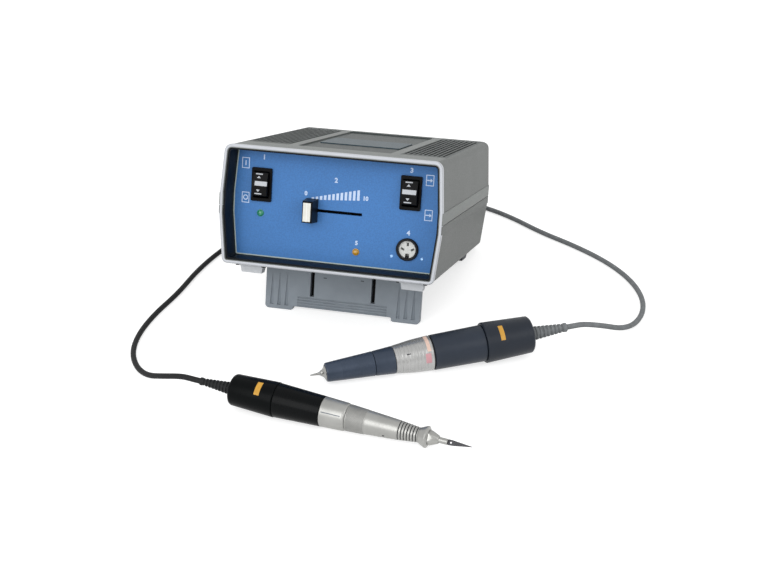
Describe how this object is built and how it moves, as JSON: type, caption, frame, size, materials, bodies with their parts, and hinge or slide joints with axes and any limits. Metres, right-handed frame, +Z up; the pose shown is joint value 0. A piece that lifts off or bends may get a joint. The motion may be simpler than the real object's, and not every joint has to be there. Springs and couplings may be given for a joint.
{
  "type": "dental micromotor",
  "caption": "Sloping bench control unit leaning back on a fold-down stand, with a rotary and a reciprocating blade handpiece, each on a coiled cord with a round plug.",
  "frame": {"origin": "bottom centre of the set's footprint without its cords, at bench level", "axes": "+X to the right of the front panel, +Y from the front panel to the rear, +Z up from the bench"},
  "size_m": [0.3823, 0.5134, 0.1442],
  "materials": {
    "case_grey": "fine satin texture",
    "panel_blue": "fine speckled satin paint",
    "hood_dark": "smooth matte",
    "rear_steel": "satin paint",
    "badge_grey": "satin, bare",
    "stand_plastic": "smooth matte",
    "foot_rubber": "matte",
    "steel": "plain",
    "switch_black": "satin",
    "knob_black": "satin",
    "lamp_green": "clear tinted lens",
    "lamp_amber": "clear tinted lens",
    "socket_black": "satin",
    "socket_insert": "smooth",
    "iron": "laminated",
    "copper": "enamelled wire",
    "board_green": "laminate",
    "aluminium": "plain",
    "magnet": "ground",
    "carbon": "pressed carbon",
    "slate_plastic": "satin",
    "slate_metal": "satin anodised",
    "chuck_metal": "fine turned",
    "black_plastic": "semi-gloss",
    "black_metal": "semi-gloss anodised",
    "polished_steel": "polished",
    "relief_grey": "matte",
    "relief_black": "matte",
    "plug_black": "satin",
    "blade_steel": "ground"
  },
  "bodies": {
    "control_unit": {"upper_case": "case_grey", "lower_case": "case_grey", "front_panel": "panel_blue", "panel_surround": "hood_dark", "rear_panel": "rear_steel", "top_badge": "badge_grey", "case_screws": "steel", "front_feet": "foot_rubber", "rear_feet": "foot_rubber", "stand_pins": "steel", "power_switch_housing": "switch_black", "rotation_switch_housing": "switch_black", "slide_potentiometer": "rear_steel", "power_lamp": "lamp_green", "overload_lamp": "lamp_amber", "output_socket_shell": "socket_black", "output_socket_insert": "socket_insert", "transformer_core": "iron", "transformer_winding": "copper", "circuit_board": "board_green", "heat_sink": "aluminium", "mains_inlet": "socket_black", "fuse_holder": "socket_black"},
    "power_rocker": {"power_rocker": "switch_black"},
    "rotation_rocker": {"rotation_rocker": "switch_black"},
    "speed_slider": {"speed_knob": "knob_black"},
    "stand": {"stand": "stand_plastic"},
    "rotary_handpiece": {"rotary_rear_cap": "slate_plastic", "rotary_motor_sleeve": "slate_plastic", "rotary_front_sleeve": "slate_metal", "rotary_nose_sleeve": "slate_metal", "rotary_nose_cone": "polished_steel", "rotary_magnets": "magnet", "rotary_bearings": "steel", "rotary_brushes": "carbon", "rotary_strain_relief": "relief_grey", "rotary_cord": "relief_grey", "rotary_cord_coil": "relief_grey", "rotary_plug": "plug_black"},
    "rotary_spindle": {"rotary_spindle": "steel", "rotary_armature": "steel"},
    "rotary_collet": {"rotary_collet": "steel", "rotary_needle": "steel"},
    "rotary_chuck_ring": {"rotary_chuck_ring": "chuck_metal"},
    "recip_handpiece": {"recip_rear_cap": "black_plastic", "recip_barrel": "black_metal", "recip_collar": "polished_steel", "recip_body": "polished_steel", "recip_nose_nut": "polished_steel", "recip_magnets": "magnet", "recip_bearings": "steel", "recip_brushes": "carbon", "recip_strain_relief": "relief_black", "recip_cord": "relief_black", "recip_cord_coil": "relief_black", "recip_plug": "plug_black"},
    "recip_motor": {"recip_armature": "steel", "recip_cam": "steel"},
    "recip_blade": {"recip_plunger": "polished_steel", "recip_blade": "blade_steel"}
  },
  "joints": [
    {"name": "power_switch", "type": "hinge", "parent": "control_unit", "child": "power_rocker", "pos_m": [-0.1085, -0.00319, 0.10847], "axis": [1, 0, 0], "range_deg": [0, 14]},
    {"name": "rotation_switch", "type": "hinge", "parent": "control_unit", "child": "rotation_rocker", "pos_m": [0.0097, -0.00206, 0.11252], "axis": [1, 0, 0], "range_deg": [0, 14]},
    {"name": "speed_slide", "type": "slide", "parent": "control_unit", "child": "speed_slider", "axis": [1, 0, 0], "range_m": [0, 0.0379]},
    {"name": "stand_hinge", "type": "hinge", "parent": "control_unit", "child": "stand", "pos_m": [-0.0482, 0.01143, 0.03769], "axis": [1, 0, 0], "range_deg": [0, 90]},
    {"name": "rotary_lift", "type": "slide", "parent": "control_unit", "child": "rotary_handpiece", "axis": [0, 0, 1], "range_m": [0, 0.15]},
    {"name": "rotary_spin", "type": "hinge", "parent": "rotary_handpiece", "child": "rotary_spindle", "pos_m": [0.1074, -0.0269, 0.01725], "axis": [-0.8657, -0.4978, -0.0522], "continuous": true},
    {"name": "collet_draw", "type": "slide", "parent": "rotary_spindle", "child": "rotary_collet", "axis": [-0.8657, -0.4978, -0.0522], "range_m": [0, 0.0008]},
    {"name": "chuck_twist", "type": "hinge", "parent": "rotary_handpiece", "child": "rotary_chuck_ring", "pos_m": [0.1074, -0.0269, 0.01725], "axis": [-0.8657, -0.4978, -0.0522], "range_deg": [0, 45]},
    {"name": "recip_lift", "type": "slide", "parent": "control_unit", "child": "recip_handpiece", "axis": [0, 0, 1], "range_m": [0, 0.15]},
    {"name": "recip_spin", "type": "hinge", "parent": "recip_handpiece", "child": "recip_motor", "pos_m": [-0.0834, -0.1519, 0.01401], "axis": [0.992, -0.1183, -0.0435], "continuous": true},
    {"name": "blade_stroke", "type": "slide", "parent": "recip_handpiece", "child": "recip_blade", "axis": [0.992, -0.1183, -0.0435], "range_m": [0, 0.0015], "stiffness_N_per_m": 200}
  ],
  "couplings": [
    {"joint": "collet_draw", "follows": "chuck_twist", "m_per_rad": 0.001}
  ]
}
